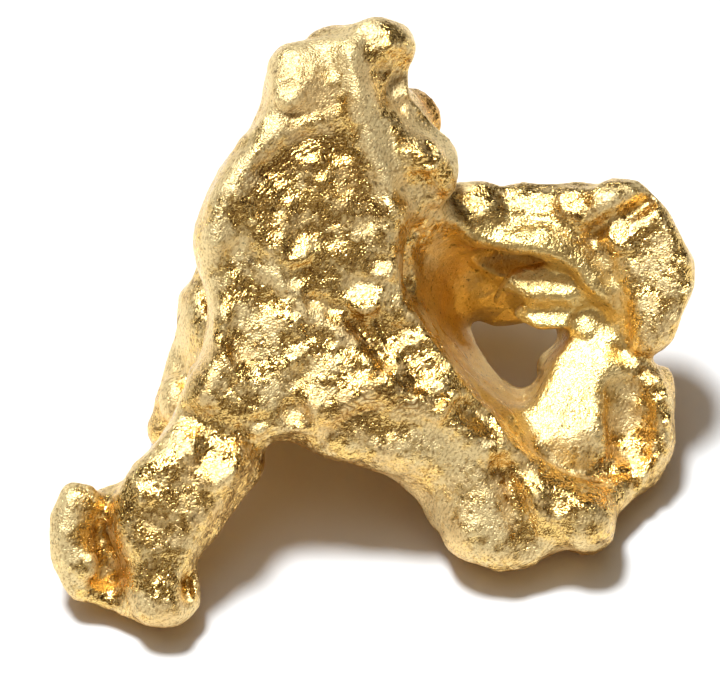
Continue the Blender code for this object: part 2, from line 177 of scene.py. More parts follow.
# %% [markdown]
# ## Creases and ribs
# Creases run where two lobes of gold met, and ribs stand between them. They are drawn one by one,
# because their places give this nugget its face. A height below zero cuts a crease.

# %% Creases and ribs: height, reach, path
CREASES_AND_RIBS = [
    # the cleft in the middle of the face, and the bench that crosses it
    (0.2, 0.55, [(-1.4, 11.4), (-1.35, 10.9), (-1.6, 10.3)]),
    (-0.08, 0.15, [(-1.45, 11.0), (-1.4, 10.2), (-1.45, 9.3)]),
    (0.08, 0.35, [(-3.3, 11.1), (-2.3, 10.5), (-1.4, 9.7), (-0.5, 8.9)]),
    (-0.07, 0.25, [(-2.4, 10.0), (-1.6, 9.4), (-1.0, 8.6)]),
    # the left lobe of the top
    (0.3, 1.1, [(-1.9, 16.2)]),
    (0.12, 0.6, [(-1.5, 15.4), (-0.9, 15.8)]),
    (-0.1, 0.3, [(-2.7, 15.4), (-2.0, 15.15), (-1.4, 15.1)]),
    # the fold beside the cup
    (0.1, 0.25, [(0.25, 9.4), (0.4, 8.9), (0.75, 8.5), (1.05, 8.05)]),
    (-0.15, 0.3, [(0.55, 9.5), (0.8, 8.9), (1.15, 8.3)]),
    # the right thigh
    (-0.12, 0.25, [(1.2, 7.6), (2.2, 7.2), (2.9, 7.0)]),
    (0.16, 0.22, [(2.1, 6.6), (2.7, 7.4)]),
    (-0.12, 0.25, [(2.4, 6.55), (3.0, 7.2)]),
    (-0.2, 0.6, [(3.3, 6.8), (3.8, 6.2)]),
    # the fold above the arch
    (-0.1, 0.25, [(-1.1, 6.0), (-0.5, 6.6), (0.3, 6.9)]),
    # small creases of the top
    (-0.05, 0.2, [(-2.4, 16.35), (-1.9, 16.15), (-1.4, 16.3)]),
    (-0.2, 0.25, [(0.55, 16.35), (0.75, 16.3)]),
    # the right shoulder
    (0.1, 0.3, [(1.55, 13.2), (1.9, 12.7), (2.5, 12.5)]),
    (-0.15, 0.3, [(1.45, 12.0), (1.75, 11.7)]),
    # the left rim
    (0.1, 0.25, [(-4.3, 9.0), (-3.6, 8.3), (-3.2, 7.6)]),
    (-0.08, 0.3, [(-3.9, 10.6), (-3.4, 9.8), (-3.3, 9.0)]),
    (0.1, 0.3, [(-3.4, 12.8), (-2.9, 11.9), (-2.6, 11.3)]),
    # the left leg, and the toe of the right one
    (-0.15, 0.3, [(-3.3, 6.3), (-2.7, 5.8)]),
    (0.12, 0.3, [(4.3, 5.1), (4.9, 4.4), (5.1, 3.4)]),
]
print(len(CREASES_AND_RIBS), "creases and ribs")

# %% [markdown]
# ## Pits and nodules
# The thin rims of the two ears are beaded with small nodules, and pits lie between them. A pit and a
# nodule are each a stroke with a path of one spot.

# %% Pits and nodules of the ears and the knob
PIT_HEIGHT = -0.2
PIT_REACH = 0.2
PITS = [(7.95, 7.9), (6.75, 5.3), (8.0, 5.6), (7.75, 4.7), (7.3, 6.0), (-6.9, 2.1)]
NODULE_HEIGHT = 0.18
NODULE_REACH = 0.35
NODULES = [(8.45, 7.7), (8.7, 7.2), (8.75, 6.6), (8.7, 6.0), (8.45, 5.4), (8.0, 4.9), (7.9, 6.9), (7.3, 5.3),
           (8.9, 9.4), (9.3, 10.2), (9.3, 11.0)]

pits = [(PIT_HEIGHT, PIT_REACH, [spot]) for spot in PITS]
nodules = [(NODULE_HEIGHT, NODULE_REACH, [spot]) for spot in NODULES]
strokes = ledges + CREASES_AND_RIBS + pits + nodules
print(len(strokes), "strokes in all")

# %% [markdown]
# Drawn strokes have even edges, like rope. Here each point is first moved a little at random, only to
# ask how near it is to a stroke, so that the edges come out ragged.

# %% Draw the strokes with ragged edges
RAGGED = ((0.5, 0.15), (0.15, 0.06))  # size of the bends, and how far they reach
RAGGED_SEED = 1  # without one, the noise vectors would be others on each run

noise.seed_set(RAGGED_SEED)
asked = points.copy()
for size, reach in RAGGED:
    asked += reach * np.array([noise.noise_vector(Vector(point) / size) for point in points])
rise = np.zeros(len(points))
for height, reach, path in strokes:
    rise += height * nearness(asked, skin_tree, path, reach)
points[:, 2] += rise
print("strokes move the front by", rise.min().round(2), "to", rise.max().round(2), "mm")

# %% [markdown]
# ## Flat facets
# Gold breaks and grows with flat spots, and each flat spot flashes as a whole when it faces the light.
# Bump could not do that over such a width, so these are pressed into the mesh. A facet with a tip of 1
# leans up and a little to the left, to where it throws the light at the viewer. One with a tip of 0
# lies level with the face, and stays dark and calm.

# %% Facets: tip, reach, middle
TIP = (0.12, -0.47)  # how fast w rises along u and along v, at a tip of 1
FACETS = [
    # the middle of the face
    (1.0, 0.45, (0.65, 10.8)), (1.0, 0.7, (0.15, 10.0)), (1.0, 0.5, (-0.65, 9.5)), (0.8, 0.22, (-1.3, 8.85)),
    (1.0, 0.3, (-0.85, 8.75)), (1.0, 0.2, (-1.9, 8.3)), (0.9, 0.3, (-2.15, 9.9)), (1.0, 0.45, (-1.7, 11.3)),
    # the floor of the dish
    (1.0, 0.28, (-2.0, 12.75)), (1.0, 0.25, (-0.75, 11.95)),
    # the slope down to the right thigh, and the calm place beside it
    (1.0, 0.7, (1.4, 8.75)), (1.0, 0.7, (1.7, 8.2)), (1.0, 0.6, (1.95, 7.7)),
    (0.0, 1.0, (-0.8, 7.6)), (0.1, 0.6, (-0.1, 8.05)),
    # between the dish's ledges
    (1.0, 0.16, (-0.75, 13.8)), (1.0, 0.16, (-0.5, 13.87)), (1.0, 0.3, (-1.1, 13.4)),
    # the right shoulder
    (1.0, 0.35, (2.05, 14.2)), (1.0, 0.3, (1.9, 13.7)),
    # the left leg
    (0.8, 0.5, (-1.7, 6.5)), (0.8, 0.4, (-2.8, 6.4)), (1.0, 0.7, (-3.9, 5.3)),
    (0.9, 0.4, (-4.9, 5.8)), (0.8, 0.5, (-5.9, 4.7)),
    # the upper ear, and the toe of the right leg
    (1.0, 0.6, (7.3, 11.8)), (1.0, 0.35, (5.6, 4.1)),
    # the right lobe of the top
    (1.0, 0.4, (0.2, 17.5)), (1.0, 0.35, (0.7, 17.15)),
    # the ledge inside the cup
    (1.0, 0.5, (4.8, 10.4)), (1.0, 0.5, (5.7, 10.35)), (1.0, 0.45, (5.1, 9.45)), (1.0, 0.45, (5.7, 9.4)),
    (1.0, 0.5, (6.3, 9.3)),
    # the cup's upper rim
    (1.0, 0.5, (3.2, 12.7)), (1.0, 0.5, (4.2, 12.75)), (1.0, 0.5, (5.2, 12.7)), (1.0, 0.45, (6.0, 12.6)),
    # the neck, and the left lobe of the top
    (1.0, 0.5, (1.1, 15.9)), (1.0, 0.45, (1.25, 15.2)), (0.9, 0.35, (-2.6, 14.9)), (1.0, 0.5, (-1.95, 15.7)),
    # calm places on the left rim, in the dish and on its highest ledge
    (0.0, 1.1, (-2.8, 8.8)), (0.0, 0.4, (-2.3, 12.0)), (0.0, 0.3, (-1.5, 14.1)),
]

flat = np.zeros(len(points))
for tip, reach, (u, v) in FACETS:
    near = nearness(asked, skin_tree, [(u, v)], reach)
    away = points - np.average(points, axis=0, weights=near)
    plane = tip * (TIP[0] * away[:, 0] + TIP[1] * away[:, 1])
    points[:, 2] += (plane - away[:, 2]) * np.sqrt(near)
    flat = np.maximum(flat, np.sqrt(near))
move(skin.data, points)
print(len(FACETS), "facets cover", (100 * (flat > 0.5).mean()).round(1), "% of the skin")

# %% [markdown]
# ## Where the stream has worn it
# Tumbling wears what stands proud. How proud a point is can be measured: smooth a copy of the skin
# hard, and see how far the point stands out of it. A wear of 0 is skin as it grew, and 1 is beaten
# quite smooth.

# %% Measure the wear
WEAR_SMOOTHING = 68
PROUD = 0.11  # mm over which wear grows from none to full
PROUD_START = 0.3  # the share of it at which wear begins

points = points_of(skin.data)
normals = normals_of(skin.data)
blurred = bpy.data.objects.new("blurred", skin.data.copy())
bpy.context.scene.collection.objects.link(blurred)
modified(blurred, "SMOOTH", factor=SMOOTH_STEP, iterations=WEAR_SMOOTHING)
proud = ((points - points_of(blurred.data)) * normals).sum(1)
bpy.data.objects.remove(blurred)
worn = np.clip(proud / PROUD - PROUD_START, 0.0, 1.0)
print("measured wear covers", (100 * (worn > 0.5).mean()).round(1), "% of the skin")

# %% [markdown]
# The measure finds rims and crests, but it can't know where the nugget lay on its bed. The broad worn
# places are listed, each with how worn it is, a reach and a path, and so are the few spots that stayed
# rough between them.

# %% Worn and rough places
WORN_PLACES = [
    # the left lobe of the top
    (1.6, 1.5, [(-1.6, 16.3), (-1.9, 15.6)]),
    # the left rim
    (0.85, 0.7, [(-2.9, 14.4), (-3.9, 12.9), (-4.2, 11.6), (-4.1, 10.4), (-4.2, 8.6)]),
    # the right thigh, and its heel
    (0.95, 1.4, [(1.2, 5.8), (2.6, 5.6), (3.6, 4.6), (3.6, 3.3)]),
    (1.05, 1.0, [(1.2, 4.9), (2.4, 3.8), (3.0, 3.0)]),
    # the neck ridge, and the edge of the shoulder
    (1.6, 0.6, [(-0.25, 16.9), (0.1, 15.6), (0.5, 14.4), (0.85, 13.3)]),
    (1.6, 0.45, [(1.0, 16.1), (1.1, 15.4), (1.5, 14.9), (2.0, 14.6), (2.7, 13.9), (2.8, 13.2)]),
    (1.0, 0.7, [(1.5, 12.9), (2.1, 12.6), (2.4, 12.3)]),
    # the benches in the middle of the face
    (1.0, 0.45, [(-3.9, 12.1), (-3.3, 11.1), (-2.3, 10.5), (-1.4, 9.7), (-0.5, 8.9)]),
    (1.0, 0.5, [(-3.4, 9.4), (-2.4, 9.0)]),
    # the soles: claw, toe and knob
    (1.0, 0.8, [(-6.2, 1.4), (-5.4, 1.0), (-4.8, 1.1)]),
    (1.0, 0.6, [(5.0, 2.9), (6.6, 3.0)]),
    (1.4, 0.8, [(-8.3, 2.2), (-8.5, 3.4), (-8.3, 4.4)]),
    # the cup's near edge, its floor, its ramp and its ledge
    (0.9, 0.8, [(2.3, 9.4), (3.4, 8.2), (4.6, 6.9), (5.4, 5.6)]),
    (1.0, 1.3, [(6.2, 9.0), (6.0, 7.8), (5.7, 6.8), (5.9, 5.6)]),
    (1.0, 0.8, [(6.8, 11.0), (7.0, 10.0), (6.7, 9.2)]),
    (0.55, 1.5, [(2.2, 11.5), (2.3, 10.5), (2.6, 9.5), (3.2, 8.5), (4.0, 7.5)]),
    (1.0, 0.7, [(4.4, 10.4), (5.4, 10.5), (6.3, 10.3)]),
    (1.0, 0.6, [(4.9, 9.4), (5.6, 9.4), (6.4, 9.2)]),
    # half worn: the lower face, the left leg and the face's middle
    (0.5, 1.7, [(-3.3, 8.0), (-2.0, 7.3), (-0.8, 6.6)]),
    (0.45, 1.0, [(-4.1, 9.5), (-4.6, 7.2), (-5.2, 5.8)]),
    (0.4, 1.0, [(-4.4, 4.6), (-5.2, 3.4)]),
    (0.5, 1.2, [(0.2, 11.6), (0.5, 10.4)]),
    # the ears
    (0.6, 1.0, [(8.3, 11.0), (8.6, 9.5)]),
    (1.4, 0.7, [(7.2, 7.8), (7.4, 6.6)]),
    # the crown, and the wing behind the left side, whose pale worn colour is partly a painted highlight
    (1.6, 0.8, [(-1.5, 17.0), (-0.7, 17.2), (0.0, 17.5)]),
    (1.4, 0.8, [(-5.0, 9.6), (-5.2, 8.3), (-5.6, 7.0)]),
]
ROUGH_PLACES = [
    # the shoulder, the dish, the right thigh and its outer side
    (1.0, 0.5, [(2.0, 15.5), (2.3, 14.9)]),
    (1.0, 0.6, [(1.5, 14.3), (1.8, 13.7)]),
    (1.0, 0.8, [(-0.8, 12.6), (-0.6, 11.6)]),
    (1.0, 0.6, [(2.4, 7.0), (3.3, 6.4)]),
    (1.0, 0.5, [(4.0, 5.4), (4.6, 4.4), (5.0, 3.8)]),
]


def marked(amount, reach, path):
    """How strongly one marked place takes hold of each point."""
    return amount * nearness(points, skin_tree, path, reach) ** 0.5


skin_tree = BVHTree.FromObject(skin, bpy.context.evaluated_depsgraph_get())
for place in WORN_PLACES:
    worn = np.maximum(worn, marked(*place))
for place in ROUGH_PLACES:
    worn *= 1.0 - marked(*place)
print("with those by hand it covers", (100 * (worn > 0.5).mean()).round(1), "%")

# %% [markdown]
# ## The sheltered cup
# Stones reach only the cup's edge, ledge and ramp. Elsewhere water just rinsed it, so its skin is calm,
# clean and bright, with less wear, and it is kept out of the painted shade of the underside. It could be
# marked path by path, but one egg-shaped space with a soft edge takes in the whole cup. The mark keeps
# to skin that turns to the front, because the cup's outside was rolled like the rest.

# %% The cup's shelter
CUP_MIDDLE = (4.3, 9.2, -4.6)
CUP_REACH = (3.0, 3.1, 4.6)
SHELTER_AT_MIDDLE = 3.0  # anything above 1 is full shelter
SHELTER_FADE = 2.2  # how much it falls over one reach
FRONT_TURN = 3.0  # skin turned a third of the way to the front has full shelter
SHELTER_FROM_WEAR = 0.6

from_middle = np.linalg.norm((points - CUP_MIDDLE) / CUP_REACH, axis=1)
sheltered = np.clip(SHELTER_AT_MIDDLE - SHELTER_FADE * from_middle, 0.0, 1.0)
sheltered *= np.clip(FRONT_TURN * normals[:, 2], 0.0, 1.0)
worn *= 1.0 - SHELTER_FROM_WEAR * sheltered
print("sheltered", (100 * (sheltered > 0.5).mean()).round(1), "% of the skin")

# %% [markdown]
# ## The underside
# Skin that overhangs is painted redder and darker: painted shade on the underside. How far it
# overhangs is its normal measured against the world's down. The sheltered cup is left out of it, and
# one rough spot on the shoulder, which lies in shade, gets the same painted shade.

# %% Painted shade on the underside
OVERHANG_GAIN = 2.0
OVERHANG_START = 0.6  # no painted shade until the gained overhang passes this
# the spot on the shoulder lies in shade, and is given the same painted shade
PAINTED_SHADE_PLACE = (1.0, 0.8, [(2.0, 15.5), (2.3, 14.9)])

up = np.array(world_to_face.to_3x3() @ Vector((0, 0, MM)))
below = np.clip(-normals @ up * OVERHANG_GAIN - OVERHANG_START, 0.0, 1.0)
below *= 1.0 - sheltered
below = np.maximum(below, marked(*PAINTED_SHADE_PLACE))
print("redder_tint", (100 * (below > 0.5).mean()).round(1), "% of the skin")

# %% [markdown]
# ## Growth layers and calm places
# Thin growth layers show on the upper side of the dish and above the arch. The dish, the toe and the
# left foot have a finer skin than the rest, so they glitter less, as the cup does. All of these are
# marked, for the material to read.

# %% Layered and calm places
LAYERED_PLACES = [
    (1.0, 0.8, [(-2.7, 13.1), (-2.2, 13.7), (-1.5, 14.1), (-0.9, 14.2)]),
    (1.0, 0.8, [(-0.4, 6.7), (0.5, 7.2), (1.4, 7.1)]),
]
CALM_PLACES = [
    (1.0, 1.9, [(-2.2, 13.5), (-1.2, 13.9), (-0.6, 13.0), (-0.8, 11.8), (-2.2, 12.2)]),
    (1.0, 0.9, [(4.3, 4.9), (5.0, 4.2)]),
    (1.0, 1.0, [(-6.2, 2.6), (-5.6, 3.4)]),
]
CUP_CALM = 0.7

layered = np.zeros(len(points))
for place in LAYERED_PLACES:
    layered = np.maximum(layered, marked(*place))
calm = CUP_CALM * sheltered
for place in CALM_PLACES:
    calm = np.maximum(calm, marked(*place))
print("layered", (100 * (layered > 0.5).mean()).round(1), "% of the skin")
print("calm", (100 * (calm > 0.5).mean()).round(1), "%")

# %% [markdown]
# ## Hackly skin
# Broken and regrown gold shows small facets that meet in creases; a mineral collector calls it hackly.
# Each cell of a random scatter gets its own tilt, and every point takes the highest of the tilted caps
# around it, which gives facets with creases between them. Three sizes are laid over each other, less
# of them where the stream has worn the skin or where it is already a flat facet.

# %% Caps with creases between them
CAP_SIZES = ((1.3, 0.02, 0.03), (0.6, 0.03, 0.04), (0.28, 0.06, 0.06))  # size in mm, tilt, bulge
LEAN_SEED = 7.3


def caps(points, size, tilt, bulge):
    """The highest of the tilted caps around each point."""
    heights = np.empty(len(points))
    for i, point in enumerate(points):
        spot = Vector(point) / size
        best = -math.inf
        for centre in noise.voronoi(spot)[1]:
            away = spot - centre
            lean = noise.cell_vector(centre * LEAN_SEED)
            best = max(best, lean.dot(away) * tilt - away.length_squared * bulge)
        heights[i] = best * size
    return heights


cap_relief = sum(caps(points, *cap) for cap in CAP_SIZES)
cap_relief -= cap_relief.mean()
print("hackly caps stand from", cap_relief.min().round(3), "to", cap_relief.max().round(3), "mm")

# %% [markdown]
# Sand wears the small forms away first, so the caps are kept whole on rough skin, mostly lost on worn
# skin and halved on the flat facets. They move each point along its own normal and not along w,
# because they cover the nugget all round.

# %% Lay the caps on the skin
WEAR_FROM_CAPS = 1.1
LEAST_CAPS = 0.15
FLAT_FROM_CAPS = 0.5

cap_share = np.clip(1.0 - worn * WEAR_FROM_CAPS, LEAST_CAPS, 1.0) * (1.0 - FLAT_FROM_CAPS * flat)
cap_relief *= cap_share
move(skin.data, points + normals * cap_relief[:, None])
print("caps move the skin by", cap_relief.min().round(3), "to", cap_relief.max().round(3), "mm")

# %% [markdown]
# ## Back to the standing frame
# The wear and the other marks are kept on the skin as attributes, so that the material can use them.
# The skin then goes back to metres and to where the solid stands, rides on the nugget's one body and
# takes the solid's place.

# %% Keep the marks and stand the skin
MARKS = {"worn": worn, "below": below, "sheltered": sheltered, "strata": layered, "calm": calm}

for name, values in MARKS.items():
    skin.data.attributes.new(name, "FLOAT", "POINT").data.foreach_set("value", values)
skin.data.transform(face_to_world)
skin.data.shade_smooth()
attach(skin, "root")
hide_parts("nugget")
print("marks on the skin:", ", ".join(MARKS))

# %% [markdown]
# ## Two helpers for materials
# Colours are written as on a paint chart and turned to linear light by one function. Another adds a
# node, sets it and links it, so that a material reads from top to bottom like a recipe.

# %% Colours and nodes
def linear(colour):
    """An sRGB hex colour as linear red, green, blue and alpha."""
    parts = [int(colour[i:i + 2], 16) / 255 for i in (1, 3, 5)]
    return [p / 12.92 if p <= 0.04045 else ((p + 0.055) / 1.055) ** 2.4 for p in parts] + [1.0]


def add(tree, kind, inputs, **settings):
    """Adds a node, sets it, fills or links its inputs and returns its first output in use."""
    node = tree.nodes.new(kind)
    for key, value in settings.items():
        setattr(node, key, value)
    for key, value in inputs.items():
        if isinstance(value, bpy.types.NodeSocket):
            tree.links.new(value, node.inputs[key])
        else:
            node.inputs[key].default_value = value
    return next(socket for socket in node.outputs if socket.enabled)


print("mid grey in linear light", [round(part, 3) for part in linear("#808080")])

# %% [markdown]
# ## Native gold
# Gold colours its own reflections: bare and clean it is a warm yellow mirror, so almost all of its
# look is what it reflects. It grew in the rock and was then tumbled with sand, which leaves a fine
# grain that tips the mirror every way and makes it glitter. Each pattern's size is in millimetres. As
# it is metal, the index of refraction stays at its default, and the base colour is the mirror's tint.

# %% Begin the gold
gold = bpy.data.materials.new("native_gold_stream_worn")
gold.use_nodes = True
tree = gold.node_tree
shader = tree.nodes["Principled BSDF"]
shader.inputs["Metallic"].default_value = 1.0
at = add(tree, "ShaderNodeTexCoord", {}).node.outputs["Object"]
here = {}
for name in MARKS:
    here[name] = add(tree, "ShaderNodeAttribute", {}, attribute_name=name).node.outputs["Fac"]
print("the gold reads", len(here), "marks")

# %% [markdown]
# Wear on a rough skin is patchy, as stones only touch what stands out at each spot. A cloudy noise
# over half a millimetre is added to the measured wear, and breaks its even edges into patches.

# %% Patchy wear
PATCH = 0.6 * MM
PATCH_CONTRAST = {"From Min": 0.4, "From Max": 0.6}
PATCH_WEAR = {"To Min": -0.7, "To Max": 0.6}

patches = add(tree, "ShaderNodeTexNoise", {"Vector": at, "Scale": 1 / PATCH, "Detail": 6.0, "Roughness": 0.7})
patches = add(tree, "ShaderNodeMapRange", {"Value": patches, **PATCH_CONTRAST, **PATCH_WEAR})
worn_here = add(tree, "ShaderNodeMath", {0: here["worn"], 1: patches}, operation="ADD", use_clamp=True)
print("patches of wear", PATCH / MM, "mm across")

# %% [markdown]
# Sand leaves a fine grain and drags it into short streaks, and soil and regrown gold leave a coarser
# crust. Each is a noise of its own size. Real grain is about a hundredth of a millimetre, which is
# finer than the render shows, so it is drawn as coarse as it needs to be seen.

# %% Grain, streaks and crust
GRAIN = 0.05 * MM
STREAK = 0.065 * MM
STREAK_LENGTH = 2.0
STREAK_WAY = Vector((0.55, 0.64, 0.54))
CRUST = 0.45 * MM

turn = Vector((1, 0, 0)).rotation_difference(STREAK_WAY.normalized()).to_euler()
along = add(tree, "ShaderNodeMapping", {"Vector": at, "Rotation": turn, "Scale": (STREAK_LENGTH, 1, 1)},
            vector_type="TEXTURE")
grain = add(tree, "ShaderNodeTexNoise", {"Vector": at, "Scale": 1 / GRAIN, "Detail": 1.0})
streaks = add(tree, "ShaderNodeTexNoise", {"Vector": along, "Scale": 1 / STREAK, "Detail": 2.0})
crust = add(tree, "ShaderNodeTexNoise", {"Vector": at, "Scale": 1 / CRUST, "Detail": 4.0, "Roughness": 0.6})
print("grain", GRAIN / MM, "mm, streaks", STREAK / MM, "mm, crust", CRUST / MM, "mm")

# %% [markdown]
# Round the dish the gold grew in thin layers, whose worn edges show as wavy parallel lines. A wave
# texture makes rings about the middle of the dish. They only show where the layers were marked.

# %% Growth layers
LAYER = 0.14 * MM
LAYER_HEIGHT = 0.007 * MM
RINGS_PER_UNIT = 20 / math.tau  # of a wave texture at scale 1
DISH_MIDDLE = (0.0, 10.7, -0.5)
WAVY = {"Distortion": 16.0, "Detail": 3.0, "Detail Scale": 0.5, "Detail Roughness": 0.65}

centred = add(tree, "ShaderNodeVectorMath", {0: at, 1: face_to_world @ Vector(DISH_MIDDLE)},
              operation="SUBTRACT")
layers = add(tree, "ShaderNodeTexWave", {"Vector": centred, "Scale": 1 / LAYER / RINGS_PER_UNIT, **WAVY},
             wave_type="RINGS", rings_direction="SPHERICAL").node.outputs["Fac"]
print("growth layers", round(LAYER / MM, 2), "mm apart")

# %% [markdown]
# Native gold glitters because its skin is made of tiny crystal faces. Each cell of a scatter becomes
# one flat face: its height is how far a point lies from the cell's middle, measured along the
# cell's own random lean. The lean is a slope, so it needs no size. The faces are a little longer
# along one way, as the gold grew, and drawn several times coarser than real ones so that they show.

# %% The crystals' way and the calm places
CRYSTAL_WAY = Vector((0.92, 0.29, 0.24))
CRYSTAL_LENGTH = 1.8
CALM_LEAN = 0.35  # what is left of the lean where the skin is calm

turn = Vector((1, 0, 0)).rotation_difference(CRYSTAL_WAY.normalized()).to_euler()
lengthwise = add(tree, "ShaderNodeMapping", {"Vector": at, "Rotation": turn, "Scale": (CRYSTAL_LENGTH, 1, 1)},
                 vector_type="TEXTURE")
lively = add(tree, "ShaderNodeMapRange", {"Value": here["calm"], "To Min": 1.0, "To Max": CALM_LEAN})
print("crystals lean to", [round(math.degrees(angle)) for angle in turn], "degrees")

# %% [markdown]
# Three sizes of face are laid over each other, as small crystals grow on large ones. The smallest have
# the steepest slopes: they make the sparkle, and the larger ones gather it into patches.

# %% Crystal faces: size, slope on rough skin, slope on worn skin
CRYSTALS = ((0.07 * MM, 0.42, 0.18), (0.16 * MM, 0.3, 0.1), (0.35 * MM, 0.08, 0.03))
MIDDLE_GREY = (0.5, 0.5, 0.5)

relief = 0.0
for size, on_rough, on_worn in CRYSTALS:
    cells = add(tree, "ShaderNodeTexVoronoi", {"Vector": lengthwise, "Scale": 1 / size}).node.outputs
    away = add(tree, "ShaderNodeVectorMath", {0: lengthwise, 1: cells["Position"]}, operation="SUBTRACT")
    lean = add(tree, "ShaderNodeVectorMath", {0: cells["Color"], 1: MIDDLE_GREY}, operation="SUBTRACT")
    slope = add(tree, "ShaderNodeVectorMath", {0: away, 1: lean}, operation="DOT_PRODUCT")
    amount = add(tree, "ShaderNodeMapRange", {"Value": worn_here, "To Min": on_rough, "To Max": on_worn})
    height = add(tree, "ShaderNodeMath", {0: slope, 1: amount}, operation="MULTIPLY")
    height = add(tree, "ShaderNodeMath", {0: height, 1: lively}, operation="MULTIPLY")
    relief = add(tree, "ShaderNodeMath", {0: relief, 1: height}, operation="ADD")
print("crystal faces of", [round(size / MM, 2) for size, _, _ in CRYSTALS], "mm")

# %% [markdown]
# The streaks and the crust come on top, each with its own height on rough skin and on worn skin. The
# sum goes into one bump, whose distance of one makes the heights real ones.

# %% The whole relief
HEIGHTS = ((grain, 0.016 * MM, 0.028 * MM), (streaks, 0.026 * MM, 0.02 * MM), (crust, 0.045 * MM, 0.045 * MM))

for part, on_rough, on_worn in HEIGHTS:
    amount = add(tree, "ShaderNodeMapRange", {"Value": worn_here, "To Min": on_rough, "To Max": on_worn})
    height = add(tree, "ShaderNodeMath", {0: part, 1: amount}, operation="MULTIPLY")
    relief = add(tree, "ShaderNodeMath", {0: relief, 1: height}, operation="ADD")
height = add(tree, "ShaderNodeMath", {0: layers, 1: here["strata"]}, operation="MULTIPLY")
relief = add(tree, "ShaderNodeMath", {0: height, 1: LAYER_HEIGHT, 2: relief}, operation="MULTIPLY_ADD")
bump = add(tree, "ShaderNodeBump", {"Strength": 1.0, "Distance": 1.0, "Height": relief})
tree.links.new(bump, shader.inputs["Normal"])
print("relief of", len(CRYSTALS) + len(HEIGHTS) + 1, "parts")

# %% [markdown]
# Clean gold that was polished by sand is pale, and gold that still has its rough skin is a stronger
# yellow, because light bounces in it more than once. Between the streaks and between the growth layers
# a darker gold is painted in as painted shade in the small hollows, and soil sits in the lowest pits of
# the crust and in small specks. The underside and one spot on the shoulder are painted redder as
# painted shade, and a few faint real stains lie elsewhere. Each of these gets a map of where it lies,
# from the marks and noises that are already there, so that colour and relief agree.

# %% Where the tints lie
STAIN = 2.5 * MM
STAIN_SHARE = {"From Min": 0.5, "From Max": 0.75, "To Max": 0.4}
CREVICE_SHADE_SHARE = {"From Min": 0.5, "From Max": 0.36, "To Max": 0.8}
CREVICE_SHADE_LEFT_WORN = 0.7
CREVICE_SHADE_LEFT_SHELTERED = 0.2
LAYER_SHADE_SHARE = {"From Min": 0.6, "From Max": 0.0}

stain = add(tree, "ShaderNodeTexNoise", {"Vector": at, "Scale": 1 / STAIN, "Detail": 4.0, "Roughness": 0.65})
stain = add(tree, "ShaderNodeMapRange", {"Value": stain, **STAIN_SHARE})
# the redder tint: real faint stains, and the painted shade of the underside and the shoulder spot
redder_tint = add(tree, "ShaderNodeMath", {0: here["below"], 1: stain}, operation="MAXIMUM")
# painted shade: the lows between the streaks get the darker gold, less of it on worn and sheltered skin
crevice_shade = add(tree, "ShaderNodeMapRange", {"Value": streaks, **CREVICE_SHADE_SHARE})
for smooth_here, left in ((worn_here, CREVICE_SHADE_LEFT_WORN), (here["sheltered"], CREVICE_SHADE_LEFT_SHELTERED)):
    share = add(tree, "ShaderNodeMapRange", {"Value": smooth_here, "To Min": 1.0, "To Max": left})
    crevice_shade = add(tree, "ShaderNodeMath", {0: crevice_shade, 1: share}, operation="MULTIPLY")
# painted shade in the lows between the growth layers, where they were marked
shade_between_layers = add(tree, "ShaderNodeMapRange", {"Value": layers, **LAYER_SHADE_SHARE})
shade_between_layers = add(tree, "ShaderNodeMath", {0: shade_between_layers, 1: here["strata"]}, operation="MULTIPLY")
crevice_shade = add(tree, "ShaderNodeMath", {0: crevice_shade, 1: shade_between_layers}, operation="MAXIMUM")
print("faint stains", STAIN / MM, "mm across")

# %% [markdown]
# Soil is dark and dull, and a little of it makes the gold look old and deep. It follows the crust's
# lowest spots, and fine specks of it lie scattered between them.

# %% Where soil lies
SPECK = 0.1 * MM
CRUST_SOIL = {"From Min": 0.36, "From Max": 0.28, "To Max": 0.8}
SPECK_SOIL = {"From Min": 0.35, "From Max": 0.29, "To Max": 0.6}

soiled = add(tree, "ShaderNodeMapRange", {"Value": crust, **CRUST_SOIL})
specks = add(tree, "ShaderNodeTexNoise", {"Vector": at, "Scale": 1 / SPECK, "Detail": 2.0})
specks = add(tree, "ShaderNodeMapRange", {"Value": specks, **SPECK_SOIL})
print("soil specks", SPECK / MM, "mm across")

# %% [markdown]
# The colours go on like thin coats of paint. The first is gold with its rough skin, and each coat on
# top covers as much of it as its own map says.

# %% The gold's colour
ROUGH_GOLD = "#F9D27F"
WORN_GOLD = "#FDE6AD"
BRIGHT_GOLD = "#FBDF95"
# the redder gold of the real faint stains and of the painted shade on the underside
STAIN_AND_SHADE_GOLD = "#EDB45A"
# the darker gold of the painted shade in small hollows
CREVICE_SHADE_GOLD = "#A97E42"
SOIL = "#664A26"
COLOUR_A = 6  # a Mix node has a pair of sockets for each kind of value, told apart by number
COLOUR_B = 7

tints = ((worn_here, WORN_GOLD), (here["sheltered"], BRIGHT_GOLD), (redder_tint, STAIN_AND_SHADE_GOLD), (crevice_shade, CREVICE_SHADE_GOLD),
         (soiled, SOIL), (specks, SOIL))
colour = linear(ROUGH_GOLD)
for amount, tint in tints:
    colour = add(tree, "ShaderNodeMix", {0: amount, COLOUR_A: colour, COLOUR_B: linear(tint)},
                 data_type="RGBA")
tree.links.new(colour, shader.inputs["Base Color"])
print(len(tints), "tints over the rough gold")

# %% [markdown]
# Crystal faces are true mirrors, so rough gold has the glossier finish of the two: its sparkle comes
# from the faces. Tumbling covers worn gold in scratches too fine to draw, which roughness stands for,
# and so it shines softly like satin. The rinsed cup lies between them.

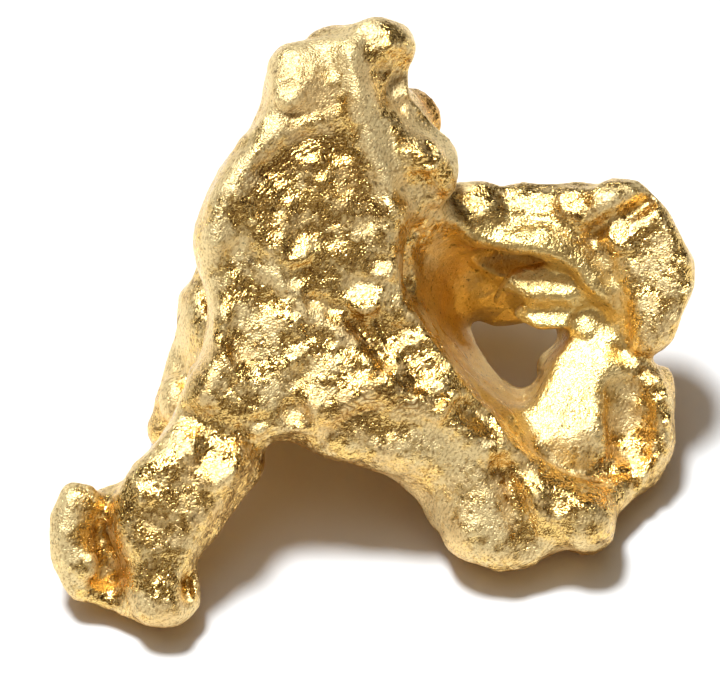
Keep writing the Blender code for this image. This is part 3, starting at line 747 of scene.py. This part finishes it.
# %% The gold's polish
GROWN_ROUGHNESS = 0.2
WORN_ROUGHNESS = 0.55
CUP_ROUGHNESS = 0.36
NUMBER_A = 2  # the Mix node's pair for plain numbers
NUMBER_B = 3

polish = add(tree, "ShaderNodeMapRange", {"Value": worn_here, "To Min": GROWN_ROUGHNESS,
                                          "To Max": WORN_ROUGHNESS})
polish = add(tree, "ShaderNodeMix", {0: here["sheltered"], NUMBER_A: polish, NUMBER_B: CUP_ROUGHNESS})
tree.links.new(polish, shader.inputs["Roughness"])
skin.data.materials.clear()
skin.data.materials.append(gold)
print("the gold has", len(tree.nodes), "nodes")

# %% [markdown]
# ## The floor
# A plain sheet of white paper. It could be a curved backdrop, but seen from this high a flat sheet
# fills the view. It is wide, because gold shows what is around it, and a bright floor is half of what
# a small nugget reflects. It lies a hair below the feet, so that the surfaces don't flicker together.

# %% A sheet of paper
PAPER_WHITE = "#F7F7F7"
PAPER_ROUGHNESS = 0.9
FLOOR_SIZE = 3.0
FLOOR_DROP = 1e-6

paper = bpy.data.materials.new("white_paper")
paper.use_nodes = True
paper_shader = paper.node_tree.nodes["Principled BSDF"]
paper_shader.inputs["Base Color"].default_value = linear(PAPER_WHITE)
paper_shader.inputs["Roughness"].default_value = PAPER_ROUGHNESS
sheet = bmesh.new()
bmesh.ops.create_grid(sheet, x_segments=1, y_segments=1, size=FLOOR_SIZE / 2)
floor_mesh = bpy.data.meshes.new("floor")
sheet.to_mesh(floor_mesh)
sheet.free()
floor_mesh.materials.append(paper)
floor = bpy.data.objects.new("floor", floor_mesh)
floor.location.z = -FLOOR_DROP
bpy.context.scene.collection.objects.link(floor)
print("floor", FLOOR_SIZE, "m wide")

# %% [markdown]
# ## One softbox
# A mirror-like thing shows its light as much as its own shape. One small round softbox hangs high, a
# little behind and to the left, so that only facets that tip up and left throw it at the viewer. A
# helper places and aims it, and later the camera.

# %% The softbox
SOFTBOX_AT = (-0.13, 0.12, 0.65)
SOFTBOX_SIZE = 0.16
SOFTBOX_WATTS = 5.9
DAYLIGHT = "#F8FCFF"
NUGGET_MIDDLE = (0, 0, 0.004)


def aimed(data, name, at, target):
    """An object at a place, looking at a target."""
    obj = bpy.data.objects.new(name, data)
    obj.location = at
    obj.rotation_euler = (Vector(target) - Vector(at)).to_track_quat("-Z", "Y").to_euler()
    bpy.context.scene.collection.objects.link(obj)
    return obj


softbox = bpy.data.lights.new("softbox", "AREA")
softbox.shape = "DISK"
softbox.size = SOFTBOX_SIZE
softbox.energy = SOFTBOX_WATTS
softbox.color = linear(DAYLIGHT)[:3]
aimed(softbox, "softbox", SOFTBOX_AT, NUGGET_MIDDLE)
print("softbox", round(Vector(SOFTBOX_AT).length, 2), "m away")

# %% [markdown]
# ## The room
# The gold's darks are the room that it reflects. The room is dim and brown, and darkest right where
# the viewer stands, with a paler ring around that place, so that skin turned to the viewer goes deep
# brown between the glints and skin turned a little away from them is lighter. A colour ramp reads how
# nearly a direction lies the viewer's way.

# %% A dim room
VIEWER_WAY = (0.0, -0.643, 0.766)
ROOM = ((0.0, "#312920"), (0.7, "#50463A"), (0.9, "#9E8E79"), (0.985, "#504538"))  # cosine, colour

world = bpy.data.worlds.new("room")
world.use_nodes = True
towards = add(world.node_tree, "ShaderNodeTexCoord", {})
facing = add(world.node_tree, "ShaderNodeVectorMath", {0: towards, 1: VIEWER_WAY},
             operation="DOT_PRODUCT").node.outputs["Value"]
room = add(world.node_tree, "ShaderNodeValToRGB", {"Fac": facing})
ramp = room.node.color_ramp
while len(ramp.elements) < len(ROOM):
    ramp.elements.new(1.0)
for element, (position, colour) in zip(ramp.elements, ROOM):
    element.position = position
    element.color = linear(colour)
print("the room has", len(ramp.elements), "shades")

# %% [markdown]
# Round the softbox the room glows softly, as the wall and the air round a real one do. Facets that
# just miss the softbox then catch the glow, which gives the glitter its half tones.

# %% A glow round the softbox
GLOW = 0.7
GLOW_EDGE = {"From Min": 0.78, "From Max": 0.98}  # cosines of 39 and 11 degrees

glow = add(world.node_tree, "ShaderNodeVectorMath", {0: towards, 1: Vector(SOFTBOX_AT).normalized()},
           operation="DOT_PRODUCT").node.outputs["Value"]
glow = add(world.node_tree, "ShaderNodeMapRange", {"Value": glow, **GLOW_EDGE, "To Max": GLOW},
           interpolation_type="SMOOTHSTEP")
room = add(world.node_tree, "ShaderNodeVectorMath", {0: room, 1: glow}, operation="ADD")
world.node_tree.links.new(room, world.node_tree.nodes["Background"].inputs["Color"])
bpy.context.scene.world = world
bpy.context.scene.view_settings.view_transform = "Standard"
print("glow of", GLOW, "round the softbox")

# %% [markdown]
# ## Camera
# A long lens a quarter of a metre away sees the broad face square on, and its shapes undistorted. The
# focal length follows from how wide a view it has to take in at that distance.

# %% The camera
VIEW_DISTANCE = 0.25
VIEW_WIDTH = 20.16 * MM
VIEW_MIDDLE = (0.0, 8.89, -1.0)
SENSOR_WIDTH = 36.0
NEAREST = 0.01

camera = bpy.data.cameras.new("camera")
camera.sensor_width = SENSOR_WIDTH
camera.lens = camera.sensor_width * VIEW_DISTANCE / VIEW_WIDTH
camera.clip_start = NEAREST
aim = face_to_world @ Vector(VIEW_MIDDLE)
outward = face_to_world.to_3x3().normalized() @ Vector((0, 0, 1))
bpy.context.scene.camera = aimed(camera, "camera", aim + outward * VIEW_DISTANCE, aim)
print("lens", round(camera.lens), "mm")
